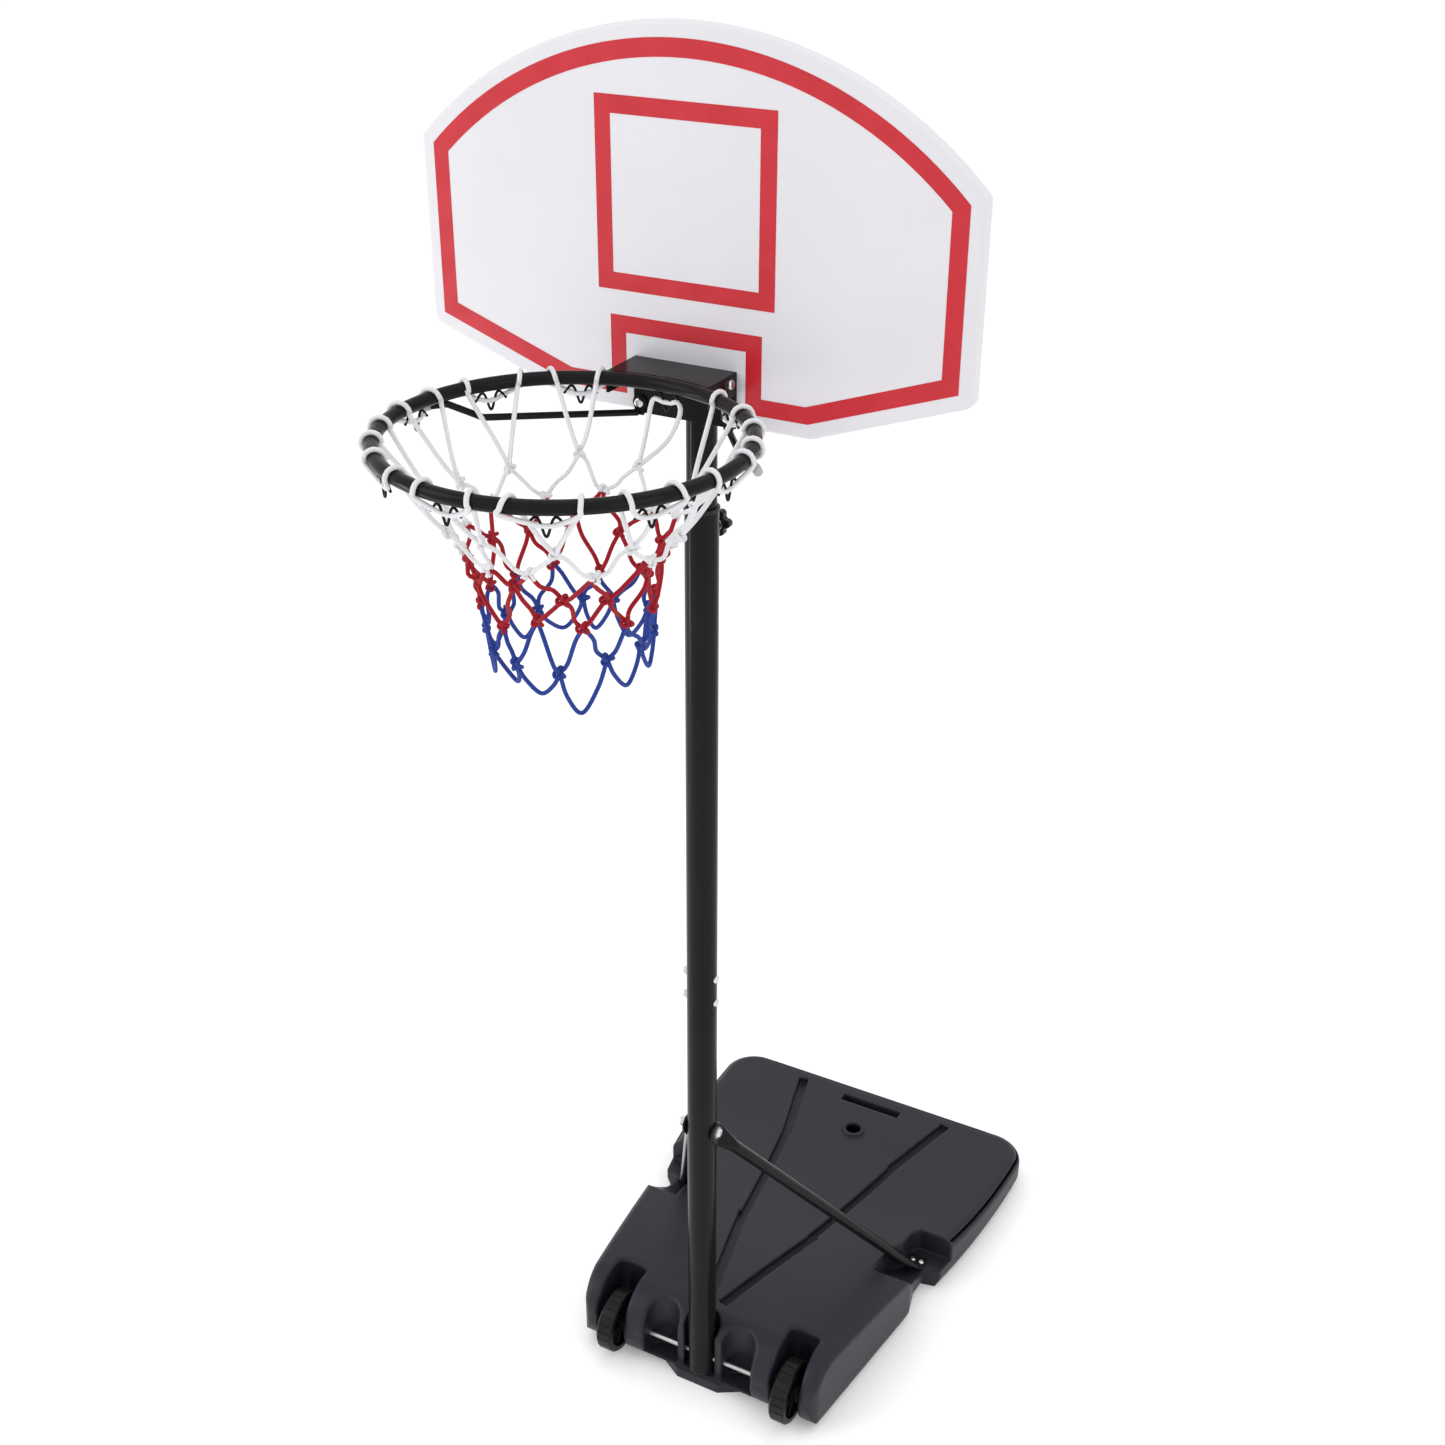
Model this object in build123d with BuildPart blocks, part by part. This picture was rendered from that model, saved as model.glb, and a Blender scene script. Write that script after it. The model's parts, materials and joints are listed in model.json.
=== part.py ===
from build123d import *
import math
import os

# Portable basketball hoop, millimetres, +Z up. The origin is on the floor under the
# pole's axis. The rim reaches towards -Y, the tank lies towards +Y, and the wheels'
# axle runs along X.

os.makedirs("parts", exist_ok=True)

# --- driving dimensions -------------------------------------------------------
RING_R = 198.0            # centreline radius of the rim
RING_TUBE_R = 8.0
RING_Y = -300.0           # rim centre, in front of the pole's axis
RING_Z = 1670.0

TUBE_R = 21.5             # lower and middle pole, outside
TUBE_WALL = 1.5
MAST_R = 19.0             # sliding upper pole, outside
MAST_WALL = 1.4
POLE_BOTTOM = 29.0
JOINT_Z = 733.0           # where the middle pole sits on the lower one
SPIGOT_TOP = 820.0
TUBE_TOP = 1484.0
MAST_BOTTOM = 905.0
MAST_TOP = 1690.0

AXLE_Z = 51.0
AXLE_R = 4.0
AXLE_HALF = 194.0
WHEEL_R = 50.0
WHEEL_W = 26.0
WHEEL_X = 154.0

BOARD_FRONT = -40.0
BOARD_T = 18.0
BOARD_SKIN = 3.0
BOARD_HALF = 350.0
BOARD_ARC_Z = 1558.0      # centre of the arc along the board's top
BOARD_ARC_R = 489.0
BOARD_BOTTOM = 1611.5
BOARD_FOOT_HALF = 160.0   # half of the short bottom edge
BOARD_SIDE_Z = 1679.0     # lower end of the straight sides

BRACE_Z = 515.0
BRACE_R = 9.0
FOOT_X = 220.0
FOOT_Y = 356.0
FOOT_FLOOR = 38.0
SCREW_PITCH = 15.0        # the two screws in one foot tab

BOLT_R = 4.0              # M8
SMALL_BOLT_R = 3.0        # M6
HOLE_PLAY = 0.15          # radial play of a bolt in its hole
RUNNING_PLAY = 0.05       # radial play of a wheel on the axle
SIDES = {"left": -1, "right": 1}


def across(x, y, z):
    """Location whose local Z runs along +X."""
    return Location(Plane(origin=(x, y, z), x_dir=(0, 1, 0), z_dir=(1, 0, 0)))


def along_y(x, y, z):
    """Location whose local Z runs along +Y."""
    return Location(Plane(origin=(x, y, z), x_dir=(1, 0, 0), z_dir=(0, 1, 0)))


# --- tank ---------------------------------------------------------------------
# Side profile in (Y, Z): the nose wraps the axle and the top falls to the back.
NOSE_Y = -24.0
TANK_BACK = 706.0
TANK_WALL = 4.0
TOP_POINTS = [(30, 126), (240, 102), (420, 76), (600, 65), (706, 61)]
TOP_TANGENTS = [(1, -0.07), (1, -0.04)]
FRONT_Y = -26.0
FRONT_HALF = [(206, FRONT_Y), (246, 262), (236, 304)]
STEP = [(239, 350), (263, 355)]
REAR_HALF = [(286, 500), (294, TANK_BACK)]
PARTING_Z = 20.0          # widest level, below it the sides are drawn in
UNDERCUT = 8.0            # at the floor, on each side
CORNER_R = 60.0
TOE_R = 22.0
REAR_EDGE_R = 18.0        # rolled top edges behind and beside the front half
FRONT_EDGE_R = 12.0
MOUTH_R = 6.0             # slot edges

SLOT_IN = 130.0           # wheel slots, from this to that distance off the middle
SLOT_OUT = 180.0
SLOT_BACK = 58.0
SLOT_CORNER_R = 12.0
WELL_R = 29.0             # round well that the pole's foot stands in
WELL_FLOOR = 24.0
SCOOP_X = 67.0            # finger scoops beside the well
SCOOP_R = 28.0
SCOOP_Y = -10.0
RECESS_HALF = 95.0
# foot pockets: inner side in plan and the ramp that leads down into them, in (Y, Z)
POCKET_SIDE = [(184, 225), (186, 310), (199, 340), (202, 374), (212, 390)]
POCKET_RAMP = [(336, 38), (300, 53), (262, 84), (232, 112)]
HANDLE_Y = 660.0
HANDLE_SIZE = (114.0, 18.0)
FILLER_Y = 581.0
FILLER_R = 14.0
# V grooves, one side: start X, Y, end X, Y and width of each stepped stretch
GROOVES = [(12, 44, 66, 272, 17), (62, 266, 106, 525, 15), (103, 516, 144, 674, 18)]
GROOVE_DEPTH = 11.0
TALL = 200.0              # height of cutters that run out through the top


def top_line(drop):
    """The tank's falling top line, lowered by drop."""
    Spline(*[(y, z - drop) for y, z in TOP_POINTS], tangents=TOP_TANGENTS)


def tank_plan(height, drawn_in, inset):
    """The tank seen from above at a height, its sides drawn in and its edge inset."""
    narrow = drawn_in + inset
    back = TANK_BACK - inset
    front = [(x - narrow, max(y, FRONT_Y + inset)) for x, y in FRONT_HALF]
    step = [(x - narrow, y + inset) for x, y in STEP]
    rear = [(REAR_HALF[0][0] - narrow, REAR_HALF[0][1]), (REAR_HALF[1][0] - narrow, back)]
    with BuildSketch(Plane.XY.offset(height)) as plan:
        with BuildLine():
            Polyline(*front, *step)
            ThreePointArc(step[-1], *rear)
            Line(rear[-1], (0, back))
            Line(front[0], (0, front[0][1]))
            mirror(about=Plane.YZ)
        make_face()
        for row, radius in ((0, TOE_R), (-1, CORNER_R)):
            corners = plan.vertices().group_by(Axis.Y)[row].sort_by(Axis.X)
            fillet([corners[0], corners[-1]], radius - inset)
    return plan.sketch


def tank_block(inset):
    """The tank's side profile crossed with its plan, both moved in by inset."""
    with BuildPart() as profile:
        with BuildSketch(Plane.YZ):
            with BuildLine():
                Line((TANK_BACK, inset), (12, inset))
                ThreePointArc((12, inset), (-18 + inset, 25 + inset / 2), (NOSE_Y + inset, 60))
                ThreePointArc((NOSE_Y + inset, 60), (-10 + inset * 0.8, 105 - inset * 0.6), (30, 126 - inset))
                top_line(inset)
                Line((TANK_BACK, 61 - inset), (TANK_BACK, inset))
            make_face()
        extrude(amount=320, both=True)
    widest = tank_plan(PARTING_Z, 0, inset)
    lowest = tank_plan(inset, UNDERCUT, inset)
    with BuildPart() as block:
        loft([lowest, widest], ruled=True)
        extrude(widest, amount=150)
        add(profile.part, mode=Mode.INTERSECT)
    return block.part


def foot_pocket(side, grow):
    """Cutter for one foot pocket, open to the side and to the top."""
    with BuildPart() as pocket:
        with BuildSketch(Plane.YZ):
            with BuildLine():
                Spline(*[(y - grow, z - grow) for y, z in POCKET_RAMP], tangents=((-1, 0.15), (-1, 0.6)))
                top = (POCKET_RAMP[-1][0] - grow, TALL)
                Polyline((POCKET_RAMP[-1][0] - grow, POCKET_RAMP[-1][1] - grow), top, (450, TALL),
                         (450, FOOT_FLOOR - grow), (POCKET_RAMP[0][0] - grow, FOOT_FLOOR - grow))
            make_face()
        extrude(amount=side * 330)
        with BuildSketch():
            with BuildLine():
                Polyline(*[(side * x, y) for x, y in POCKET_SIDE], (side * 340, POCKET_SIDE[-1][1] - 4),
                         (side * 340, POCKET_SIDE[0][1]), close=True)
            make_face()
            offset(amount=grow, kind=Kind.INTERSECTION)
        extrude(amount=TALL, mode=Mode.INTERSECT)
    return pocket.part


def tank_cutters(grow):
    """All that is cut out of the tank from outside, each side moved out by grow."""
    upright = (Align.CENTER, Align.CENTER, Align.MIN)
    pockets = [foot_pocket(side, grow) for side in SIDES.values()]
    with BuildPart() as cuts:
        with BuildSketch(Plane.XY.offset(-10)):
            for side in SIDES.values():
                with Locations((side * (SLOT_IN + SLOT_OUT) / 2, (SLOT_BACK + grow) / 2 - 50)):
                    RectangleRounded(SLOT_OUT - SLOT_IN + 2 * grow, SLOT_BACK + grow + 100, SLOT_CORNER_R)
        extrude(amount=TALL)
        for side in SIDES.values():
            with Locations((side * SCOOP_X, SCOOP_Y, WELL_FLOOR - grow)):
                Cylinder(SCOOP_R + grow, TALL, align=upright)
        with Locations((0, 0, WELL_FLOOR - grow)):
            Cylinder(WELL_R + grow, TALL, align=upright)
        with Locations((0, SCOOP_Y + grow - 50, WELL_FLOOR - grow)):
            Box(2 * (RECESS_HALF + grow), 100, TALL, align=upright)
        with Locations((0, HANDLE_Y, 0)):
            Box(HANDLE_SIZE[0] + 2 * grow, HANDLE_SIZE[1] + 2 * grow, TALL)
        add(pockets)
    return cuts.part


def sunk_band(sketch, depth):
    """Cutter that sinks a shape in plan into the sloping top by depth."""
    with BuildPart() as above:
        with BuildSketch(Plane.YZ):
            with BuildLine():
                top_line(depth)
                Polyline((TOP_POINTS[-1][0], TOP_POINTS[-1][1] - depth), (760, 61 - depth), (760, TALL),
                         (-60, TALL), (-60, 126 - depth), (TOP_POINTS[0][0], TOP_POINTS[0][1] - depth))
            make_face()
        extrude(amount=340, both=True)
    with BuildPart() as band:
        with BuildSketch():
            add(sketch)
        extrude(amount=TALL)
        add(above.part, mode=Mode.INTERSECT)
    return band.part


def groove_bands(grow):
    """Plan of the two stepped V grooves, each stretch widened by grow."""
    with BuildSketch() as bands:
        for x0, y0, x1, y1, width in GROOVES:
            for side in SIDES.values():
                lean = -math.degrees(math.atan2(side * (x1 - x0), y1 - y0))
                length = math.hypot(x1 - x0, y1 - y0)
                with Locations(Location((side * (x0 + x1) / 2, (y0 + y1) / 2, 0), (0, 0, lean))):
                    Rectangle(width + 2 * grow, length + 2 * grow)
    return bands.sketch


def make_base_tank():
    outer = tank_block(0)
    hollow = tank_block(TANK_WALL)
    outside_cuts = tank_cutters(0)
    keep_out = tank_cutters(TANK_WALL)
    grooves = sunk_band(groove_bands(0), GROOVE_DEPTH)
    groove_keep = sunk_band(groove_bands(TANK_WALL), GROOVE_DEPTH + TANK_WALL)
    with BuildSketch() as border:
        with Locations((0, 698)):
            Rectangle(430, 17)
    border_cut = sunk_band(border.sketch, 4)
    with BuildPart() as cavity:
        add(hollow)
        add(keep_out, mode=Mode.SUBTRACT)
        add(groove_keep, mode=Mode.SUBTRACT)
        with Locations((0, 696, 62)):
            Box(500, 34, 30, mode=Mode.SUBTRACT)
        for side in SIDES.values():
            with Locations(across(side * 155, 0, AXLE_Z)):
                Cylinder(14, 160, mode=Mode.SUBTRACT)
            with Locations((side * FOOT_X, FOOT_Y, FOOT_FLOOR - 13)):
                Box(52, 40, 24, mode=Mode.SUBTRACT)
    with BuildPart() as base_tank:
        add(outer)
        fillet([e for e in base_tank.edges() if e.center().Z > 48 and e.center().Y > 400
                and e.bounding_box().size.Z < 40], REAR_EDGE_R)
        fillet([e for e in base_tank.edges() if abs(e.center().X) > 150 and e.center().Z > 60
                and e.center().Y < FRONT_HALF[1][1] and e.bounding_box().size.Y > 5
                and e.bounding_box().size.Z < 80], FRONT_EDGE_R)
        add(outside_cuts, mode=Mode.SUBTRACT)
        fillet([e for e in base_tank.edges() if SLOT_IN - 2 < abs(e.center().X) < SLOT_OUT + 2
                and e.center().Z > 24 and e.center().Y < SLOT_BACK + 16], MOUTH_R)
        fillet([e for e in base_tank.edges() if SCOOP_X - SCOOP_R < abs(e.center().X) < RECESS_HALF + 1
                and e.center().Z > WELL_FLOOR + 6 and e.center().Y < 20 and e.bounding_box().size.Y > 3], MOUTH_R)
        add(grooves, mode=Mode.SUBTRACT)
        add(border_cut, mode=Mode.SUBTRACT)
        # tongue in front of the pole's foot
        with BuildSketch():
            with BuildLine():
                Polyline((-88, 30), (-80, 8), (-36, -18), (36, -18), (80, 8), (88, 30), close=True)
            make_face()
        extrude(amount=18)
        # raised rim round the filler
        with Locations((0, FILLER_Y, 60)):
            Cylinder(20, 10, align=(Align.CENTER, Align.CENTER, Align.MIN))
        add(cavity.part, mode=Mode.SUBTRACT)
        with Locations((0, FILLER_Y, 60)):
            Cylinder(FILLER_R, 60, mode=Mode.SUBTRACT)
        with Locations(across(0, 0, AXLE_Z)):
            Cylinder(AXLE_R + RUNNING_PLAY, 2 * (AXLE_HALF + 1), mode=Mode.SUBTRACT)
        with Locations(*[(side * FOOT_X + dx, FOOT_Y, FOOT_FLOOR) for side in SIDES.values() for dx in (-SCREW_PITCH / 2, SCREW_PITCH / 2)]):
            Cylinder(SMALL_BOLT_R, 24, mode=Mode.SUBTRACT)
    base_tank.part.label = "base_tank"
    export_step(base_tank.part, "parts/base_tank.step")


# --- wheels and axle ----------------------------------------------------------
HUB_R = 13.0
HUB_LENGTH = 34.0
RIM_INNER_R = 40.0


def make_wheel(side):
    """Ribbed roller wheel on the axle, its spokes set in from both faces."""
    with BuildPart() as wheel:
        with Locations(across(side * WHEEL_X, 0, AXLE_Z)):
            Cylinder(WHEEL_R, WHEEL_W)
        chamfer(wheel.edges().filter_by(GeomType.CIRCLE), 2.5)
        for end in (-1, 1):
            with Locations(across(side * WHEEL_X + end * WHEEL_W / 2, 0, AXLE_Z)):
                Cylinder(RIM_INNER_R, 18, mode=Mode.SUBTRACT)
        with Locations(across(side * WHEEL_X, 0, AXLE_Z)):
            Cylinder(HUB_R, HUB_LENGTH)
            with PolarLocations(26.5, 6):
                Box(29, 4, 18)
            with PolarLocations(WHEEL_R, 24):
                Box(2.6, 1.8, WHEEL_W + 2, mode=Mode.SUBTRACT)
            Cylinder(AXLE_R + RUNNING_PLAY, HUB_LENGTH + 2, mode=Mode.SUBTRACT)
    return wheel


def make_axle():
    with BuildPart() as axle_rod:
        with Locations(across(0, 0, AXLE_Z)):
            Cylinder(AXLE_R, 2 * AXLE_HALF)
        chamfer(axle_rod.edges().filter_by(GeomType.CIRCLE), 0.8)
    axle_rod.part.label = "axle_rod"
    export_step(axle_rod.part, "parts/axle_rod.step")

    with BuildPart() as wheel_spacers:
        for side in SIDES.values():
            for near, far in ((SLOT_IN, WHEEL_X - HUB_LENGTH / 2), (WHEEL_X + HUB_LENGTH / 2, SLOT_OUT)):
                with Locations(across(side * (near + far) / 2, 0, AXLE_Z)):
                    Cylinder(8, far - near - 0.6)
                    Cylinder(AXLE_R + RUNNING_PLAY, 20, mode=Mode.SUBTRACT)
    wheel_spacers.part.label = "wheel_spacers"
    export_step(wheel_spacers.part, "parts/wheel_spacers.step")


# --- fixed pole ---------------------------------------------------------------
JOINT_BOLTS = (749.0, 789.0)
KNOB_Z = 1452.0
BOSS_OUT = 32.0
SCREW_R = 4.9


def make_poles():
    bore = TUBE_R - TUBE_WALL
    spigot = bore - 0.1
    with BuildPart() as lower_pole:
        with BuildSketch(Plane.XZ):
            with BuildLine():
                Polyline((bore, POLE_BOTTOM), (TUBE_R, POLE_BOTTOM), (TUBE_R, JOINT_Z), (spigot, JOINT_Z),
                         (spigot, SPIGOT_TOP), (spigot - 1.4, SPIGOT_TOP), (spigot - 1.4, JOINT_Z - 8),
                         (bore, JOINT_Z - 16), close=True)
            make_face()
        revolve(axis=Axis.Z)
        with Locations(across(0, 0, AXLE_Z)):
            Cylinder(AXLE_R + HOLE_PLAY, 60, mode=Mode.SUBTRACT)
        with Locations(across(0, 0, BRACE_Z)):
            Cylinder(BOLT_R + HOLE_PLAY, 60, mode=Mode.SUBTRACT)
        with Locations(*[across(0, 0, z) for z in JOINT_BOLTS]):
            Cylinder(SMALL_BOLT_R + HOLE_PLAY, 60, mode=Mode.SUBTRACT)
    lower_pole.part.label = "lower_pole"
    export_step(lower_pole.part, "parts/lower_pole.step")

    with BuildPart() as middle_pole:
        with BuildSketch(Plane.XY.offset(JOINT_Z + 0.3)):
            Circle(TUBE_R)
            Circle(bore, mode=Mode.SUBTRACT)
        extrude(amount=TUBE_TOP - JOINT_Z - 0.3)
        with Locations(*[across(0, 0, z) for z in JOINT_BOLTS]):
            Cylinder(SMALL_BOLT_R + HOLE_PLAY, 60, mode=Mode.SUBTRACT)
        with Locations(along_y(0, TUBE_R, KNOB_Z)):
            Cylinder(SCREW_R + 0.6, 16, mode=Mode.SUBTRACT)
        # two crimps in the front that guide the sliding pole
        with Locations((3, -TUBE_R - 2, 1450), (3, -TUBE_R - 2, 1443)):
            Sphere(2.6, mode=Mode.SUBTRACT)
    middle_pole.part.label = "middle_pole"
    export_step(middle_pole.part, "parts/middle_pole.step")

    with BuildPart() as pole_foot_cap:
        with BuildSketch(Plane.XY.offset(POLE_BOTTOM - 4)):
            Circle(TUBE_R)
        extrude(amount=4)
        fillet(pole_foot_cap.edges().group_by(Axis.Z)[0], 3)
        with BuildSketch(Plane.XY.offset(POLE_BOTTOM)):
            Circle(bore - 0.05)
        extrude(amount=14)
    pole_foot_cap.part.label = "pole_foot_cap"
    export_step(pole_foot_cap.part, "parts/pole_foot_cap.step")

    with BuildPart() as pole_collar:
        with BuildSketch(Plane.XY.offset(TUBE_TOP)):
            Circle(TUBE_R + 1.2)
            Circle(MAST_R + 0.3, mode=Mode.SUBTRACT)
        extrude(amount=5)
        chamfer(pole_collar.edges().filter_by(GeomType.CIRCLE).group_by(Axis.Z)[-1].sort_by(SortBy.RADIUS)[-1], 1)
    pole_collar.part.label = "pole_collar"
    export_step(pole_collar.part, "parts/pole_collar.step")


def bolt(z_head, radius, head_r, head_h, length):
    """Round-headed bolt along local Z: the head starts at z_head, the shank is below it."""
    with BuildPart(mode=Mode.PRIVATE) as one:
        with BuildSketch(Plane.XY.offset(z_head - length)):
            Circle(radius)
        extrude(amount=length)
        with BuildSketch(Plane.XY.offset(z_head)):
            Circle(head_r)
        extrude(amount=head_h)
        fillet(one.edges().group_by(Axis.Z)[-1], head_h * 0.7)
    return one.part


def cap_nut(radius, flat_r, height):
    """Domed hexagon nut that stands on local Z = 0, with a blind bore of the given radius."""
    with BuildPart(mode=Mode.PRIVATE) as one:
        with BuildSketch():
            RegularPolygon(flat_r, 6, major_radius=False)
        extrude(amount=height * 0.55)
        with BuildSketch(Plane.XY.offset(height * 0.55)):
            Circle(flat_r * 0.86)
        extrude(amount=height * 0.45)
        fillet(one.edges().group_by(Axis.Z)[-1], height * 0.38)
        with BuildSketch():
            Circle(radius)
        extrude(amount=height * 0.6, mode=Mode.SUBTRACT)
    return one.part


def make_joint_fasteners():
    head = bolt(TUBE_R, SMALL_BOLT_R, 6, 4, 2 * TUBE_R + 4)
    nut = cap_nut(SMALL_BOLT_R, 5.5, 9)
    with BuildPart() as joint_bolts:
        for z in JOINT_BOLTS:
            add(across(0, 0, z) * head)
    joint_bolts.part.label = "joint_bolts"
    export_step(joint_bolts.part, "parts/joint_bolts.step")
    with BuildPart() as joint_nuts:
        for z in JOINT_BOLTS:
            add(across(-TUBE_R, 0, z) * Rot(180, 0, 0) * nut)
    joint_nuts.part.label = "joint_nuts"
    export_step(joint_nuts.part, "parts/joint_nuts.step")


# --- height clamp -------------------------------------------------------------
KNOB_IN = 34.2            # neck of the knob, then the star between grip and out
KNOB_GRIP = 39.0
KNOB_OUT = 50.0
KNOB_LOBES = 5
LOBE_AT = 12.0
LOBE_R = 5.6
WASHER_T = 1.6


def make_clamp():
    """Boss, washer, screw and star knob that press on the sliding pole from behind."""
    with BuildPart() as knob_boss:
        with Locations(along_y(0, (TUBE_R + BOSS_OUT) / 2 - 3, KNOB_Z)):
            Cylinder(9, BOSS_OUT - TUBE_R + 6)
        with BuildSketch(Plane.XY.offset(KNOB_Z - 20)):
            Circle(TUBE_R)
        extrude(amount=40, mode=Mode.SUBTRACT)
        with Locations(along_y(0, TUBE_R, KNOB_Z)):
            Cylinder(SCREW_R + 0.1, 40, mode=Mode.SUBTRACT)
    knob_boss.part.label = "knob_boss"
    export_step(knob_boss.part, "parts/knob_boss.step")

    with BuildPart() as knob_washer:
        with Locations(along_y(0, BOSS_OUT + 0.2 + WASHER_T / 2, KNOB_Z)):
            Cylinder(9.5, WASHER_T)
            Cylinder(SCREW_R + 0.1, 4, mode=Mode.SUBTRACT)
    knob_washer.part.label = "knob_washer"
    export_step(knob_washer.part, "parts/knob_washer.step")

    screw_start = MAST_R + 0.15
    screw_end = KNOB_GRIP + 6
    with BuildPart() as knob_screw:
        with Locations(along_y(0, (screw_start + screw_end) / 2, KNOB_Z)):
            Cylinder(SCREW_R, screw_end - screw_start)
        chamfer(knob_screw.edges().filter_by(GeomType.CIRCLE).sort_by(Axis.Y)[0], 1)
    knob_screw.part.label = "knob_screw"
    export_step(knob_screw.part, "parts/knob_screw.step")

    grip_plane = Plane(origin=(0, KNOB_GRIP, KNOB_Z), x_dir=(1, 0, 0), z_dir=(0, 1, 0))
    with BuildPart() as clamp_knob:
        with BuildSketch(grip_plane) as star:
            Circle(LOBE_AT)
            with PolarLocations(LOBE_AT, KNOB_LOBES):
                Circle(LOBE_R)
            fillet(star.vertices(), 2.5)
        extrude(amount=KNOB_OUT - KNOB_GRIP)
        fillet(clamp_knob.edges().group_by(Axis.Y)[-1], 2.5)
        fillet(clamp_knob.edges().group_by(Axis.Y)[0], 1.5)
        with Locations(along_y(0, (KNOB_IN + KNOB_GRIP + 2) / 2, KNOB_Z)):
            Cylinder(9, KNOB_GRIP + 2 - KNOB_IN)
        with Locations(along_y(0, (KNOB_IN + screw_end) / 2, KNOB_Z)):
            Cylinder(SCREW_R, screw_end - KNOB_IN, mode=Mode.SUBTRACT)
    clamp_knob.part.label = "clamp_knob"
    export_step(clamp_knob.part, "parts/clamp_knob.step")


# --- braces -------------------------------------------------------------------
TAB_T = 3.2
TAB_W = 30.0
FOOT_TAB_W = 30.0
SQUEEZE = 40.0            # length over which the tube is pressed flat


def make_brace(side):
    """Round tube from the pole down to a foot pocket, both ends pressed flat."""
    eye = Vector(side * (TUBE_R + 0.2 + TAB_T / 2), 0, BRACE_Z)
    foot = Vector(side * FOOT_X, FOOT_Y - 14, FOOT_FLOOR + TAB_T / 2)
    fall = Vector(0, foot.Y, foot.Z - BRACE_Z).normalized()
    neck = eye + fall * 18
    run = (foot - neck).normalized()
    flat = Plane(origin=neck, x_dir=(1, 0, 0), z_dir=fall)
    start = Plane(origin=neck + run * SQUEEZE, x_dir=(1, 0, 0), z_dir=run)
    end = Plane(origin=foot - run * SQUEEZE, x_dir=(1, 0, 0), z_dir=run)
    toe = Plane(origin=foot, x_dir=(1, 0, 0), z_dir=(0, 1, 0))
    flat_r = TAB_T * 0.45
    tube = (2 * BRACE_R, 2 * BRACE_R, BRACE_R - 0.1)
    # all sections are rounded rectangles, so round tube and flat tab loft edge to edge
    with BuildPart() as brace:
        with BuildSketch(flat):
            RectangleRounded(TAB_T, TAB_W, flat_r)
        with BuildSketch(start):
            RectangleRounded(*tube)
        loft()
        with BuildSketch(start):
            RectangleRounded(*tube)
        extrude(amount=(end.origin - start.origin).length)
        with BuildSketch(end):
            RectangleRounded(*tube)
        with BuildSketch(toe):
            RectangleRounded(FOOT_TAB_W, TAB_T, flat_r)
        loft()
        with Locations((side * FOOT_X, FOOT_Y, foot.Z)):
            Box(FOOT_TAB_W, 28, TAB_T)
        fillet(brace.edges().filter_by(Axis.Z).group_by(Axis.Y)[-1], 5)
        with Locations(across(eye.X, 0, BRACE_Z)):
            Cylinder(TAB_W / 2, TAB_T)
        with BuildSketch(Plane(origin=eye, x_dir=(1, 0, 0), z_dir=fall)):
            Rectangle(TAB_T, TAB_W)
        extrude(amount=18)
        with Locations(across(eye.X, 0, BRACE_Z)):
            Cylinder(BOLT_R + HOLE_PLAY, 12, mode=Mode.SUBTRACT)
        with Locations(*[(side * FOOT_X + dx, FOOT_Y, FOOT_FLOOR) for dx in (-SCREW_PITCH / 2, SCREW_PITCH / 2)]):
            Cylinder(SMALL_BOLT_R + HOLE_PLAY, 20, mode=Mode.SUBTRACT)
    return brace


def make_brace_fasteners():
    seat = TUBE_R + 0.2 + TAB_T
    long_bolt = bolt(0, BOLT_R, 7, 5, 2 * seat + 7)
    end_nut = cap_nut(BOLT_R, 6.5, 11)
    screw = bolt(0, SMALL_BOLT_R, 5, 3.4, TAB_T + 12)
    with BuildPart() as brace_bolt:
        add(across(seat + 1.6, 0, BRACE_Z) * long_bolt)
    brace_bolt.part.label = "brace_bolt"
    export_step(brace_bolt.part, "parts/brace_bolt.step")
    with BuildPart() as brace_washers:
        with Locations(across(seat + 0.8, 0, BRACE_Z), across(-seat - 0.8, 0, BRACE_Z)):
            Cylinder(9, 1.6)
            Cylinder(BOLT_R + 0.05, 4, mode=Mode.SUBTRACT)
    brace_washers.part.label = "brace_washers"
    export_step(brace_washers.part, "parts/brace_washers.step")
    with BuildPart() as brace_nut:
        add(across(-seat - 1.6, 0, BRACE_Z) * Rot(180, 0, 0) * end_nut)
    brace_nut.part.label = "brace_nut"
    export_step(brace_nut.part, "parts/brace_nut.step")
    with BuildPart() as foot_screws:
        for side in SIDES.values():
            for dx in (-SCREW_PITCH / 2, SCREW_PITCH / 2):
                add(Pos(side * FOOT_X + dx, FOOT_Y, FOOT_FLOOR + TAB_T) * screw)
    foot_screws.part.label = "foot_screws"
    export_step(foot_screws.part, "parts/foot_screws.step")


# --- sliding mast -------------------------------------------------------------
PLATE_HALF = 67.0         # half width of both bracket plates
PLATE_BACK = -19.2        # back of the plate behind the board, clear of the mast
PLATE_Z = (1612.0, 1692.0)
EAR_Z = (1634.0, 1672.0)  # bolts through the ears and the mast
LOW_BOLT = (58.0, 1623.0)
HIGH_BOLT = (50.0, 1662.0)


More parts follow.
